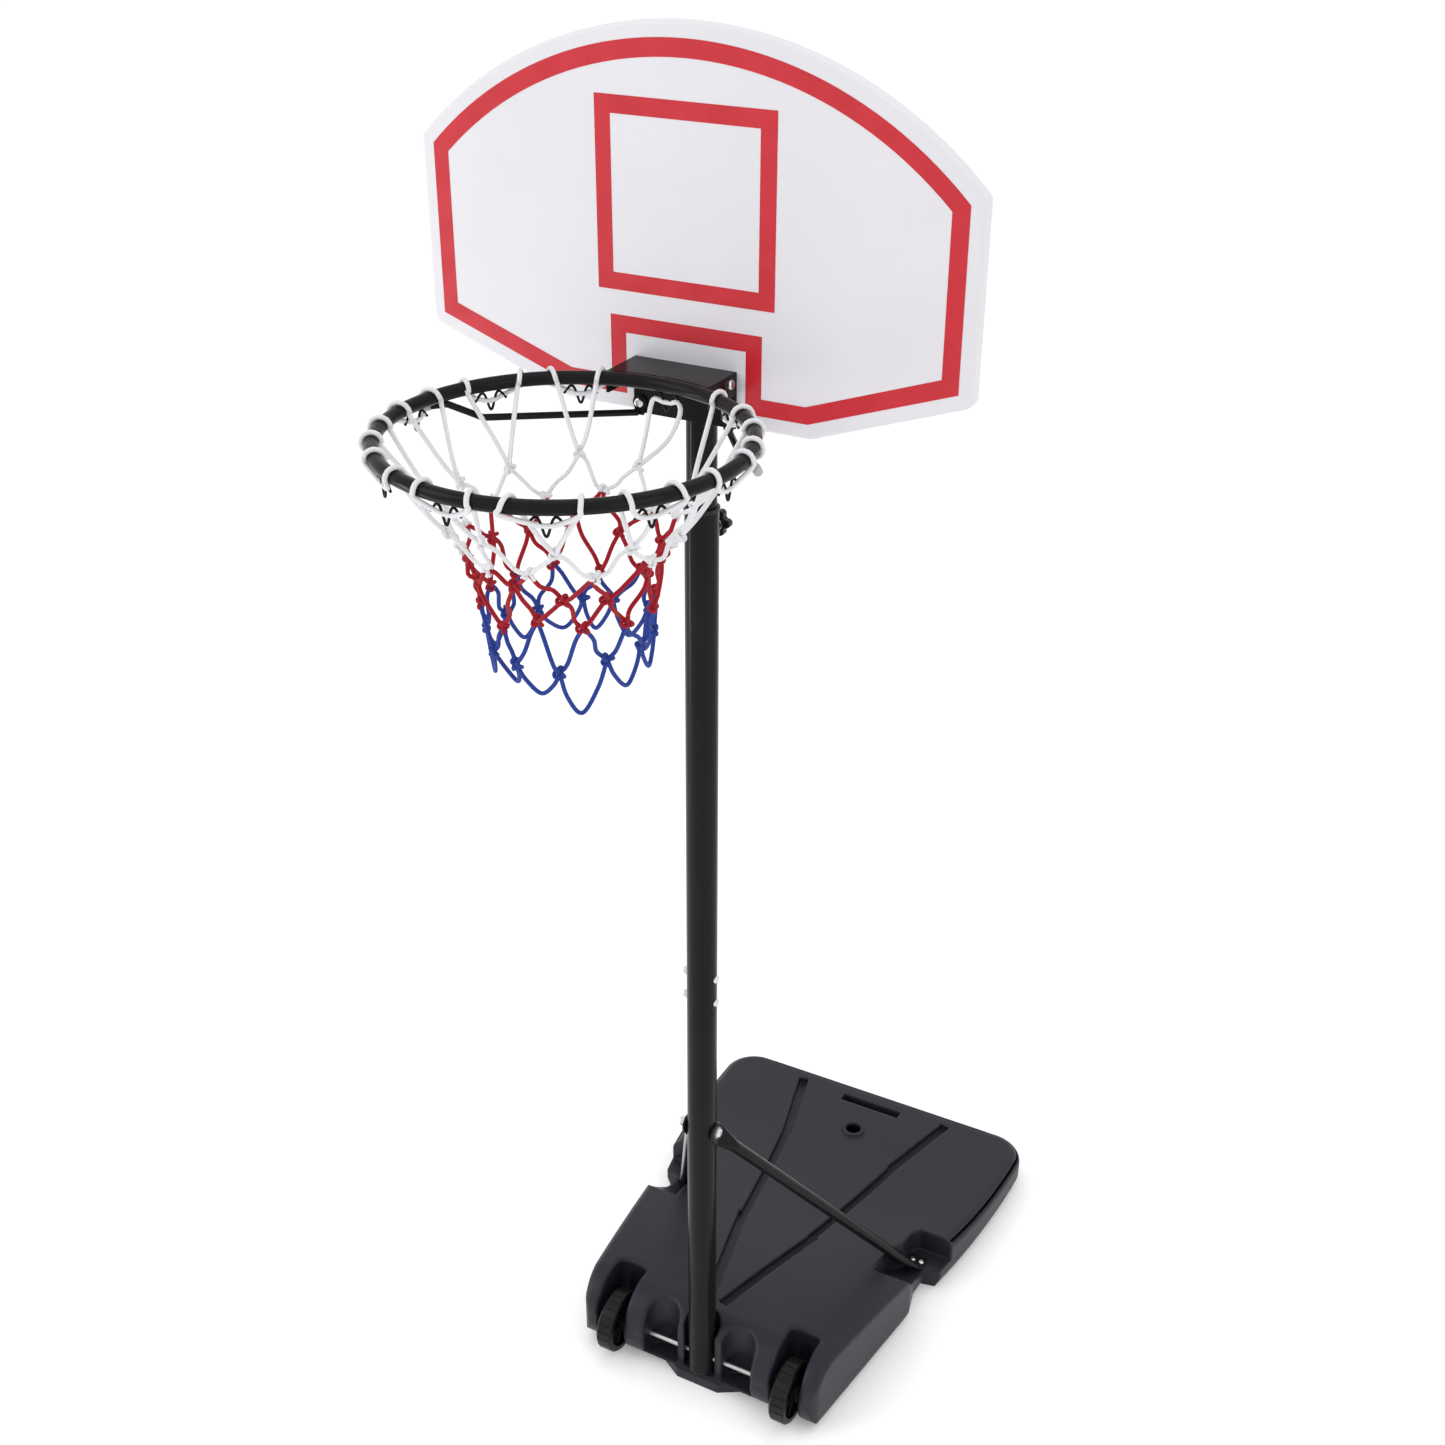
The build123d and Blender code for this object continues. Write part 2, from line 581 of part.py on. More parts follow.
def make_mast():
    with BuildPart() as upper_pole:
        with BuildSketch(Plane.XY.offset(MAST_BOTTOM)):
            Circle(MAST_R)
            Circle(MAST_R - MAST_WALL, mode=Mode.SUBTRACT)
        extrude(amount=MAST_TOP - MAST_BOTTOM)
        with Locations(*[across(0, 0, z) for z in EAR_Z]):
            Cylinder(BOLT_R + HOLE_PLAY, 50, mode=Mode.SUBTRACT)
    upper_pole.part.label = "upper_pole"
    export_step(upper_pole.part, "parts/upper_pole.step")

    inside = MAST_R - MAST_WALL - 0.05
    with BuildPart() as mast_plug:
        with BuildSketch(Plane.XY.offset(MAST_TOP)):
            Circle(MAST_R)
        extrude(amount=4)
        fillet(mast_plug.edges().group_by(Axis.Z)[-1], 3)
        with BuildSketch(Plane.XY.offset(MAST_TOP - 10)):
            Circle(inside)
        extrude(amount=10)
    mast_plug.part.label = "mast_plug"
    export_step(mast_plug.part, "parts/mast_plug.step")

    with BuildPart() as mast_bush:
        with BuildSketch(Plane.XY.offset(MAST_BOTTOM - 4)):
            Circle(TUBE_R - TUBE_WALL - 0.1)
        extrude(amount=4)
        with BuildSketch(Plane.XY.offset(MAST_BOTTOM)):
            Circle(inside)
        extrude(amount=16)
        with BuildSketch(Plane.XY.offset(MAST_BOTTOM - 4)):
            Circle(inside - 4)
        extrude(amount=20, mode=Mode.SUBTRACT)
    mast_bush.part.label = "mast_bush"
    export_step(mast_bush.part, "parts/mast_bush.step")

    plate_t = PLATE_BACK - (BOARD_FRONT + BOARD_T)
    with BuildPart() as pole_bracket:
        with BuildSketch(Plane.XZ.offset(-(BOARD_FRONT + BOARD_T))):
            with Locations((0, sum(PLATE_Z) / 2)):
                RectangleRounded(2 * PLATE_HALF, PLATE_Z[1] - PLATE_Z[0], 8)
        extrude(amount=-plate_t)
        for side in SIDES.values():
            with BuildSketch(Plane.YZ.offset(side * (MAST_R + 0.2))):
                with BuildLine():
                    Polyline((-22, 1618), (4, 1618), (12, 1626), (12, 1680), (4, 1688), (-22, 1688), close=True)
                make_face()
            extrude(amount=side * 3)
        with Locations(*[across(0, 0, z) for z in EAR_Z]):
            Cylinder(BOLT_R + HOLE_PLAY, 60, mode=Mode.SUBTRACT)
        with Locations(*[along_y(side * x, PLATE_BACK, z) for side in SIDES.values() for x, z in (LOW_BOLT, HIGH_BOLT)]):
            Cylinder(SMALL_BOLT_R + HOLE_PLAY, 20, mode=Mode.SUBTRACT)
    pole_bracket.part.label = "pole_bracket"
    export_step(pole_bracket.part, "parts/pole_bracket.step")

    ear_out = MAST_R + 3.2
    ear_bolt = bolt(0, BOLT_R, 7, 5, 2 * ear_out + 5)
    ear_nut = cap_nut(BOLT_R, 6.5, 9)
    with BuildPart() as mast_bolts:
        for z in EAR_Z:
            add(across(ear_out, 0, z) * ear_bolt)
    mast_bolts.part.label = "mast_bolts"
    export_step(mast_bolts.part, "parts/mast_bolts.step")
    with BuildPart() as mast_nuts:
        for z in EAR_Z:
            add(across(-ear_out, 0, z) * Rot(180, 0, 0) * ear_nut)
    mast_nuts.part.label = "mast_nuts"
    export_step(mast_nuts.part, "parts/mast_nuts.step")


# --- board --------------------------------------------------------------------
STRIPE = 20.0
STRIPE_T = 0.3
STRIPE_FROM_EDGE = 17.0
STRIPE_BOTTOM = 1629.5
NOTCH_HALF = 98.0
NOTCH_TOP = 1722.0
TARGET_HALF = 113.0
TARGET_Z = (1751.0, 1966.0)


def board_outline(side_half, foot_half, foot_z, side_z, arc_r):
    """Face of the board's shape: flat foot, diagonals, straight sides, arched top."""
    side_top = BOARD_ARC_Z + math.sqrt(arc_r ** 2 - side_half ** 2)
    with BuildSketch() as outline:
        with BuildLine():
            Polyline((foot_half, foot_z), (side_half, side_z), (side_half, side_top))
            ThreePointArc((side_half, side_top), (0, BOARD_ARC_Z + arc_r), (-side_half, side_top))
            Polyline((-side_half, side_top), (-side_half, side_z), (-foot_half, foot_z), (foot_half, foot_z))
        make_face()
    return outline.sketch


def make_board():
    shape = board_outline(BOARD_HALF, BOARD_FOOT_HALF, BOARD_BOTTOM, BOARD_SIDE_Z, BOARD_ARC_R)
    back = BOARD_FRONT + BOARD_T
    with BuildPart() as board_shell:
        with BuildSketch(Plane.XZ.offset(-BOARD_FRONT)) as plan:
            add(shape)
            fillet(plan.vertices(), 11)
        extrude(amount=-BOARD_T)
        fillet(board_shell.faces().sort_by(Axis.Y)[0].edges(), 4)
        # hollow back with a raised rim, then the ribs and the solid pad
        with BuildSketch(Plane.XZ.offset(-back)) as hollow:
            add(shape)
            fillet(hollow.vertices(), 11)
            offset(amount=-7, kind=Kind.INTERSECTION)
            with Locations((0, 1655)):
                Rectangle(150, 100, mode=Mode.SUBTRACT)
            for x in (-262.5, -175, -87.5, 0, 87.5, 175, 262.5):
                with Locations((x, 1830)):
                    Rectangle(2.5, 500, mode=Mode.SUBTRACT)
            for z in (1700, 1785, 1870, 1955):
                with Locations((0, z)):
                    Rectangle(800, 2.5, mode=Mode.SUBTRACT)
        extrude(amount=BOARD_T - BOARD_SKIN, mode=Mode.SUBTRACT)
        with Locations(*[along_y(side * x, back, z) for side in SIDES.values() for x, z in (LOW_BOLT, HIGH_BOLT)]):
            Cylinder(SMALL_BOLT_R + HOLE_PLAY, 60, mode=Mode.SUBTRACT)
    board_shell.part.label = "board_shell"
    export_step(board_shell.part, "parts/board_shell.step")

    inset = STRIPE_FROM_EDGE
    stripe_shape = board_outline(BOARD_HALF - inset + 0.5, BOARD_FOOT_HALF - 3, STRIPE_BOTTOM, BOARD_SIDE_Z + 12.5,
                                 BOARD_ARC_R - inset)
    with BuildPart() as board_graphic:
        with BuildSketch(Plane.XZ.offset(-BOARD_FRONT)):
            add(stripe_shape)
            offset(amount=-STRIPE, kind=Kind.INTERSECTION, mode=Mode.SUBTRACT)
            with Locations((0, STRIPE_BOTTOM)):
                Rectangle(2 * NOTCH_HALF, NOTCH_TOP - STRIPE_BOTTOM, align=(Align.CENTER, Align.MIN))
                Rectangle(2 * (NOTCH_HALF - STRIPE), NOTCH_TOP - STRIPE - STRIPE_BOTTOM,
                          align=(Align.CENTER, Align.MIN), mode=Mode.SUBTRACT)
            with Locations((0, sum(TARGET_Z) / 2)):
                Rectangle(2 * TARGET_HALF, TARGET_Z[1] - TARGET_Z[0])
                Rectangle(2 * (TARGET_HALF - STRIPE), TARGET_Z[1] - TARGET_Z[0] - 2 * STRIPE, mode=Mode.SUBTRACT)
        extrude(amount=STRIPE_T)
    board_graphic.part.label = "board_graphic"
    export_step(board_graphic.part, "parts/board_graphic.step")


# --- rim, bracket and struts ---------------------------------------------------
FLANGE_T = 3.0
BRACKET_TOP = 1677.0
WALL_BOTTOM = 1651.0
FLANGE_BOTTOM = 1610.0
TIE_Y = -57.0
TIE_Z = 1667.0
STRUT_R = 4.0
EYE_T = 3.0
HOOK_R = 1.5
HOOK_COUNT = 12
HOOK_START = -3.0


def make_rim():
    with BuildPart() as rim_ring:
        with Locations((0, RING_Y, RING_Z)):
            Torus(RING_R, RING_TUBE_R)
    rim_ring.part.label = "rim_ring"
    export_step(rim_ring.part, "parts/rim_ring.step")

    outside = RING_R + RING_TUBE_R
    reach = BOARD_FRONT - 100
    with BuildPart() as rim_bracket:
        with BuildSketch(Plane.XY.offset(BRACKET_TOP - FLANGE_T)):
            with Locations((0, (BOARD_FRONT + reach) / 2)):
                Rectangle(2 * PLATE_HALF, BOARD_FRONT - reach)
            with Locations((0, RING_Y)):
                Circle(outside - 1, mode=Mode.SUBTRACT)
        extrude(amount=FLANGE_T)
        with BuildSketch(Plane.XY.offset(WALL_BOTTOM)):
            for side in SIDES.values():
                with Locations((side * (PLATE_HALF - FLANGE_T / 2), (BOARD_FRONT + reach) / 2)):
                    Rectangle(FLANGE_T, BOARD_FRONT - reach)
            with Locations((0, RING_Y)):
                Circle(outside + 0.1, mode=Mode.SUBTRACT)
        extrude(amount=BRACKET_TOP - WALL_BOTTOM)
        with Locations((0, BOARD_FRONT - FLANGE_T / 2, (BRACKET_TOP + FLANGE_BOTTOM) / 2)):
            Box(2 * PLATE_HALF, FLANGE_T, BRACKET_TOP - FLANGE_BOTTOM)
        fillet(rim_bracket.edges().filter_by(Axis.Y).group_by(Axis.Z)[-1], 2)
        with Locations(*[along_y(side * x, BOARD_FRONT, z) for side in SIDES.values() for x, z in (LOW_BOLT, HIGH_BOLT)]):
            Cylinder(SMALL_BOLT_R + HOLE_PLAY, 20, mode=Mode.SUBTRACT)
        with Locations(across(0, TIE_Y, TIE_Z)):
            Cylinder(SMALL_BOLT_R + HOLE_PLAY, 160, mode=Mode.SUBTRACT)
    rim_bracket.part.label = "rim_bracket"
    export_step(rim_bracket.part, "parts/rim_bracket.step")

    # bent wire hooks: two feet under the ring, a deep middle and curled ends
    touch = RING_Z - RING_TUBE_R - HOOK_R
    with BuildPart() as hook:
        with BuildLine() as wire:
            Spline((RING_R, -19, touch - 9), (RING_R, -10, touch), (RING_R, 0, touch - 20), (RING_R, 10, touch),
                   (RING_R, 19, touch - 9),
                   tangents=((0, 1, 1), (0, 1, 0), (0, 1, 0), (0, 1, 0), (0, 1, -1)))
        with BuildSketch(Plane(origin=wire.line @ 0, z_dir=wire.line % 0)):
            Circle(HOOK_R)
        sweep(path=wire.line)
    with BuildPart() as net_hooks:
        with Locations((0, RING_Y, 0)):
            with PolarLocations(0, HOOK_COUNT, start_angle=HOOK_START):
                add(hook.part)
    net_hooks.part.label = "net_hooks"
    export_step(net_hooks.part, "parts/net_hooks.step")


TIP = Vector(206, -263, RING_Z - RING_TUBE_R - STRUT_R - 0.1)
TIP_RUN = Vector(0.625, -0.781, 0).normalized()


def make_strut(side):
    """Rod from an eye under a flange bolt to the underside of the ring."""
    bend = TIP - TIP_RUN * 26
    front = BOARD_FRONT - FLANGE_T
    with BuildPart() as strut:
        with BuildLine() as centre:
            FilletPolyline((60, front - 4.5, 1611), (166, -209, 1636), bend, TIP, radius=9)
        with BuildSketch(Plane(origin=centre.line @ 0, z_dir=centre.line % 0)):
            Circle(STRUT_R)
        sweep(path=centre.line)
        with BuildSketch(Plane.XZ.offset(-front)):
            with Locations(LOW_BOLT):
                Circle(9)
            with Locations((LOW_BOLT[0] + 1, 1615)):
                Rectangle(12, 14)
        extrude(amount=EYE_T)
        with Locations(along_y(LOW_BOLT[0], front, LOW_BOLT[1])):
            Cylinder(SMALL_BOLT_R + HOLE_PLAY, 20, mode=Mode.SUBTRACT)
        if side < 0:
            mirror(about=Plane.YZ, mode=Mode.REPLACE)
    return strut


def make_rim_fasteners():
    front = BOARD_FRONT - FLANGE_T
    with BuildPart() as cap:
        with BuildSketch(Plane(origin=TIP - TIP_RUN * 6, z_dir=TIP_RUN)):
            Circle(STRUT_R + 1.2)
        extrude(amount=14)
        fillet(cap.edges().sort_by(Axis.X)[-1], 4)
        with BuildSketch(Plane(origin=TIP - TIP_RUN * 6, z_dir=TIP_RUN)):
            Circle(STRUT_R)
        extrude(amount=6, mode=Mode.SUBTRACT)
    with BuildPart() as strut_caps:
        add(cap.part)
        mirror(about=Plane.YZ)
    strut_caps.part.label = "strut_caps"
    export_step(strut_caps.part, "parts/strut_caps.step")

    nut = cap_nut(SMALL_BOLT_R, 5.5, 8)
    seats = {seat: bolt(0, SMALL_BOLT_R, 6, 4, PLATE_BACK - seat + 4) for seat in (front - EYE_T, front)}
    cross_bolt = bolt(0, SMALL_BOLT_R, 6, 4, 2 * PLATE_HALF + 4)
    with BuildPart() as bracket_bolts:
        for side in SIDES.values():
            for (x, z), (seat, one) in zip((LOW_BOLT, HIGH_BOLT), seats.items()):
                add(along_y(side * x, seat, z) * Rot(180, 0, 0) * one)
    bracket_bolts.part.label = "bracket_bolts"
    export_step(bracket_bolts.part, "parts/bracket_bolts.step")
    with BuildPart() as bracket_nuts:
        for side in SIDES.values():
            for x, z in (LOW_BOLT, HIGH_BOLT):
                add(along_y(side * x, PLATE_BACK, z) * nut)
    bracket_nuts.part.label = "bracket_nuts"
    export_step(bracket_nuts.part, "parts/bracket_nuts.step")
    with BuildPart() as tie_bolt:
        add(across(PLATE_HALF, TIE_Y, TIE_Z) * cross_bolt)
    tie_bolt.part.label = "tie_bolt"
    export_step(tie_bolt.part, "parts/tie_bolt.step")
    with BuildPart() as tie_nut:
        add(across(-PLATE_HALF, TIE_Y, TIE_Z) * Rot(180, 0, 0) * nut)
    tie_nut.part.label = "tie_nut"
    export_step(tie_nut.part, "parts/tie_nut.step")


# --- net ----------------------------------------------------------------------
NET_SIDE = [(180, 1641), (150, 1566), (113, 1470), (98, 1368)]
NET_CORD = 4.0
NET_GAPS = [(1600, 24), (1540, 21), (1482, 17), (1428, 15)]


def make_net():
    """Open tapering sleeve with rows of diamond gaps."""
    with BuildPart() as net:
        with BuildSketch(Plane.XZ):
            with BuildLine():
                Spline(*NET_SIDE)
                Spline(*[(radius - NET_CORD, z) for radius, z in NET_SIDE])
                Line(NET_SIDE[0], (NET_SIDE[0][0] - NET_CORD, NET_SIDE[0][1]))
                Line(NET_SIDE[-1], (NET_SIDE[-1][0] - NET_CORD, NET_SIDE[-1][1]))
            make_face()
        revolve(axis=Axis.Z)
        for row, (z, size) in enumerate(NET_GAPS):
            with Locations((0, 0, z)):
                with PolarLocations(140, 12, start_angle=15 * (row % 2)):
                    Box(160, size * 1.5, size * 1.5, rotation=(45, 0, 0), mode=Mode.SUBTRACT)
    with BuildPart() as placed:
        with Locations((0, RING_Y, 0)):
            add(net.part)
    placed.part.label = "net"
    export_step(placed.part, "parts/net.step")


make_base_tank()
wheel_left = make_wheel(SIDES["left"])
wheel_left.part.label = "wheel_left"
export_step(wheel_left.part, "parts/wheel_left.step")
wheel_right = make_wheel(SIDES["right"])
wheel_right.part.label = "wheel_right"
export_step(wheel_right.part, "parts/wheel_right.step")
make_axle()
make_poles()
make_joint_fasteners()
make_clamp()
brace_left = make_brace(SIDES["left"])
brace_left.part.label = "brace_left"
export_step(brace_left.part, "parts/brace_left.step")
brace_right = make_brace(SIDES["right"])
brace_right.part.label = "brace_right"
export_step(brace_right.part, "parts/brace_right.step")
make_brace_fasteners()
make_mast()
make_board()
make_rim()
strut_left = make_strut(SIDES["left"])
strut_left.part.label = "strut_left"
export_step(strut_left.part, "parts/strut_left.step")
strut_right = make_strut(SIDES["right"])
strut_right.part.label = "strut_right"
export_step(strut_right.part, "parts/strut_right.step")
make_rim_fasteners()
make_net()
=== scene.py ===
import json
import math
import random

import bpy
from mathutils import Matrix, Vector


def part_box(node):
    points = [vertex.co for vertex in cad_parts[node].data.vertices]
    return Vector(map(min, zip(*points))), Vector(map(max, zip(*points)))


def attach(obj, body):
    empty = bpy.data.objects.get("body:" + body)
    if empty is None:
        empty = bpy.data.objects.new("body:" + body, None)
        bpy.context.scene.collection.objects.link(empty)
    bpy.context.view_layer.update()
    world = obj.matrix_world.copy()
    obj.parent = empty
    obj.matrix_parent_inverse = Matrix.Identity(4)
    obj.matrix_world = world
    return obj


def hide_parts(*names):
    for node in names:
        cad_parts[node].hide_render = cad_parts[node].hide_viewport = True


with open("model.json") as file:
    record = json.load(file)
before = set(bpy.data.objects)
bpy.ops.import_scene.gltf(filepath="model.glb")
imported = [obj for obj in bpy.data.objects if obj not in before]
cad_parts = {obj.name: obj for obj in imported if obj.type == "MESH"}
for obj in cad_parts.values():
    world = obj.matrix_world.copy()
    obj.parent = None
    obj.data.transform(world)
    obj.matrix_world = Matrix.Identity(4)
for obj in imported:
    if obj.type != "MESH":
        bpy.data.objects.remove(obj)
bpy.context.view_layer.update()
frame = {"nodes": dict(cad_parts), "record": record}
nodes = frame["nodes"]
rng = random.Random(11)
MM = 1000                 # millimetres in a metre, for texture coordinates

# the ring's own measures, taken from the CAD node
ring_lo, ring_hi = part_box("rim_ring")
RING = (ring_lo + ring_hi) / 2
TUBE_R = (ring_hi.z - ring_lo.z) / 2
RING_R = (ring_hi.x - ring_lo.x) / 2 - TUBE_R


# --- materials ------------------------------------------------------------------
class Nodes:
    """Small helper that adds shader nodes and links them."""

    def __init__(self, name):
        self.mat = bpy.data.materials.new(name)
        self.mat.use_nodes = True
        self.tree = self.mat.node_tree
        self.bsdf = self.tree.nodes["Principled BSDF"]

    def add(self, kind, inputs=None, **props):
        node = self.tree.nodes.new(kind)
        for key, value in props.items():
            setattr(node, key, value)
        for key, value in (inputs or {}).items():
            if hasattr(value, "is_output"):
                self.tree.links.new(value, node.inputs[key])
            else:
                node.inputs[key].default_value = value
        return node

    def put(self, key, value):
        if hasattr(value, "is_output"):
            self.tree.links.new(value, self.bsdf.inputs[key])
        else:
            self.bsdf.inputs[key].default_value = value

    def where(self, scale=1.0):
        """Object coordinates, stretched alike or by three factors."""
        coords = self.add("ShaderNodeTexCoord")
        mapping = self.add("ShaderNodeMapping", {"Vector": coords.outputs["Object"]})
        factors = (scale, scale, scale) if isinstance(scale, float) else scale
        mapping.inputs["Scale"].default_value = factors
        return mapping.outputs["Vector"]

    def noise(self, scale, detail=3.0, rough=0.5, stretch=1.0):
        inputs = {"Vector": self.where(stretch), "Scale": scale, "Detail": detail, "Roughness": rough}
        return self.add("ShaderNodeTexNoise", inputs).outputs["Fac"]

    def ramp(self, fac, low, high, start=0.3, end=0.7):
        """Map a 0-1 value to the span low..high between two positions."""
        inputs = {"Value": fac, "From Min": start, "From Max": end, "To Min": low, "To Max": high}
        return self.add("ShaderNodeMapRange", inputs).outputs["Result"]

    def blend(self, fac, a, b):
        node = self.add("ShaderNodeMix", data_type="RGBA")
        for key, value in ((0, fac), (6, a), (7, b)):
            if hasattr(value, "is_output"):
                self.tree.links.new(value, node.inputs[key])
            else:
                node.inputs[key].default_value = value
        return node.outputs[2]

    def soft_edges(self, radius):
        """Normal with its edges rounded to a radius, as coated or moulded edges are."""
        return self.add("ShaderNodeBevel", {"Radius": radius}, samples=6).outputs["Normal"]

    def bump(self, height, strength, distance, under=None):
        node = self.add("ShaderNodeBump", {"Height": height, "Strength": strength, "Distance": distance})
        if under is not None:
            self.tree.links.new(under, node.inputs["Normal"])
        return node.outputs["Normal"]


def rgb(r, g, b):
    return (r, g, b, 1.0)


def gloss_black(name, rough=0.14):
    """Powder-coated steel: near black, a fine orange peel, its gloss slightly uneven."""
    m = Nodes(name)
    grain = m.noise(900.0, 2.0)
    cloud = m.noise(9.0, 4.0)
    tint = m.ramp(cloud, 0.0, 1.0)
    m.put("Base Color", m.blend(tint, rgb(0.0080, 0.0077, 0.0085), rgb(0.0105, 0.0101, 0.0112)))
    m.put("Roughness", m.ramp(cloud, rough, rough + 0.1))
    m.put("Specular IOR Level", 0.09)
    m.put("Normal", m.bump(grain, 0.12, 0.0004, m.soft_edges(0.0012)))
    return m.mat


def moulded(name, base, dark, rough, shine=0.25, grain_depth=0.0006, grain_scale=700.0, edge=0.001):
    """Textured plastic: fine leather-like grain over a broad unevenness."""
    m = Nodes(name)
    grain = m.noise(grain_scale, 3.0, 0.6)
    cloud = m.noise(6.0, 4.0)
    m.put("Base Color", m.blend(m.ramp(cloud, 0.0, 1.0), base, dark))
    m.put("Roughness", m.ramp(grain, rough - 0.06, rough + 0.06))
    m.put("Specular IOR Level", shine)
    broad = m.bump(cloud, 0.25, 0.004, m.soft_edges(edge))
    m.put("Normal", m.bump(grain, 0.35, grain_depth, broad))
    return m.mat


def board_plastic(name):
    """Smooth off-white plastic with a faint flow pattern and light scuffs."""
    m = Nodes(name)
    cloud = m.noise(3.5, 3.0)
    scuff = m.noise(60.0, 4.0, 0.6, (1.0, 1.0, 8.0))
    tint = m.ramp(cloud, 0.0, 1.0)
    m.put("Base Color", m.blend(tint, rgb(0.62, 0.61, 0.645), rgb(0.655, 0.645, 0.675)))
    m.put("Roughness", m.ramp(scuff, 0.3, 0.42))
    m.put("Subsurface Weight", 0.04)
    m.put("Normal", m.bump(m.noise(140.0, 2.0), 0.08, 0.0006))
    return m.mat


def stripe_red(name):
    """Printed red band, a little glossier than the board under it."""
    m = Nodes(name)
    cloud = m.noise(30.0, 4.0)
    tint = m.ramp(cloud, 0.0, 1.0)
    m.put("Base Color", m.blend(tint, rgb(0.45, 0.004, 0.013), rgb(0.50, 0.006, 0.018)))
    m.put("Roughness", m.ramp(cloud, 0.28, 0.4))
    m.put("Normal", m.bump(m.noise(140.0, 2.0), 0.08, 0.0006))
    return m.mat


def bright_metal(name, tint, rough):
    """Plated metal with fine brush marks across it."""
    m = Nodes(name)
    brush = m.noise(500.0, 2.0, 0.5, (1.0, 1.0, 6.0))
    dull = tint * 0.8
    m.put("Base Color", m.blend(brush, rgb(tint, tint, tint + 0.01), rgb(dull, dull, dull)))
    m.put("Metallic", 1.0)
    m.put("Roughness", m.ramp(brush, rough, rough + 0.12))
    m.put("Normal", m.bump(brush, 0.1, 0.0002))
    return m.mat


PLAIT_LEAN = 0.62         # angle of the plait's strands to the cord, in radians
PLAIT_SCALE = 2.6


def cord_material(name, base, dark):
    """Braided cord: plait ridges run round it, from the tube's own UV (length, turn); the grooves between
    the strands are given painted shade.
    """
    m = Nodes(name)
    uv = m.add("ShaderNodeUVMap", uv_map="UVMap").outputs["UV"]
    plait = None
    for lean in (1.0, -1.0):
        spun = m.add("ShaderNodeMapping", {"Vector": uv})
        spun.inputs["Rotation"].default_value = (0.0, 0.0, lean * PLAIT_LEAN)
        inputs = {"Vector": spun.outputs["Vector"], "Scale": PLAIT_SCALE, "Distortion": 0.6, "Detail": 1.0}
        wave = m.add("ShaderNodeTexWave", inputs).outputs["Fac"]
        if plait is None:
            plait = wave
        else:
            plait = m.add("ShaderNodeMath", {0: plait, 1: wave}, operation="MAXIMUM").outputs["Value"]
    fuzz = m.noise(1400.0, 2.0)
    # the plait's grooves take the dark colour and its ridges the base colour: painted shade in the creases
    # between strands
    m.put("Base Color", m.blend(plait, dark, base))
    m.put("Roughness", 0.72)
    m.put("Specular IOR Level", 0.2)
    m.put("Sheen Weight", 0.08)
    m.put("Sheen Roughness", 0.5)
    ridges = m.bump(plait, 0.55, 0.0006)
    m.put("Normal", m.bump(fuzz, 0.2, 0.0002, ridges))
    return m.mat


MATERIALS = {
    "tank_plastic": moulded("tank plastic", rgb(0.0122, 0.0116, 0.0185), rgb(0.0155, 0.0148, 0.0225),
                            0.42, 0.24, edge=0.007),
    "wheel_plastic": moulded("wheel plastic", rgb(0.004, 0.004, 0.0043), rgb(0.007, 0.007, 0.0074),
                             0.38, 0.18),
    "black_steel": gloss_black("black steel"),
    "black_plastic": moulded("black plastic", rgb(0.006, 0.006, 0.0065), rgb(0.009, 0.009, 0.0095),
                             0.32, 0.25, 0.0003),
    "zinc_steel": bright_metal("zinc steel", 0.5, 0.28),
    "chrome_fasteners": bright_metal("chrome", 0.7, 0.14),
    "board_plastic": board_plastic("board plastic"),
    "stripe_red": stripe_red("stripe red"),
    "cap_plastic": moulded("cap plastic", rgb(0.42, 0.42, 0.44), rgb(0.36, 0.36, 0.38),
                           0.45, 0.4, 0.0003),
}
SLOT_OF = {part["node"]: part["material_slot"] for part in frame["record"]["subparts"]}
for node_name, node in nodes.items():
    if SLOT_OF[node_name] in MATERIALS:
        for slot in node.material_slots:
            slot.material = MATERIALS[SLOT_OF[node_name]]


# --- net ------------------------------------------------------------------------
CORD_R = 0.0025
SIDES = 9                 # facets round a cord
PATH_STEP = 0.0035        # spacing of the points along a cord


def smooth_path(points):
    """Catmull-Rom curve through the given points, about one point per step of length."""
    pts = [Vector(p) for p in points]
    count = len(pts)
    out = []
    for i in range(count - 1):
        p1, p2 = pts[i], pts[i + 1]
        p0 = pts[i - 1] if i else p1 * 2 - p2
        p3 = pts[i + 2] if i + 2 < count else p2 * 2 - p1
        cuts = max(2, int((p2 - p1).length / PATH_STEP))
        for k in range(cuts):
            t = k / cuts
            out.append(0.5 * ((2 * p1) + (p2 - p0) * t + (2 * p0 - 5 * p1 + 4 * p2 - p3) * t * t
                              + (3 * p1 - p0 - 3 * p2 + p3) * t ** 3))
    out.append(pts[-1])
    return out


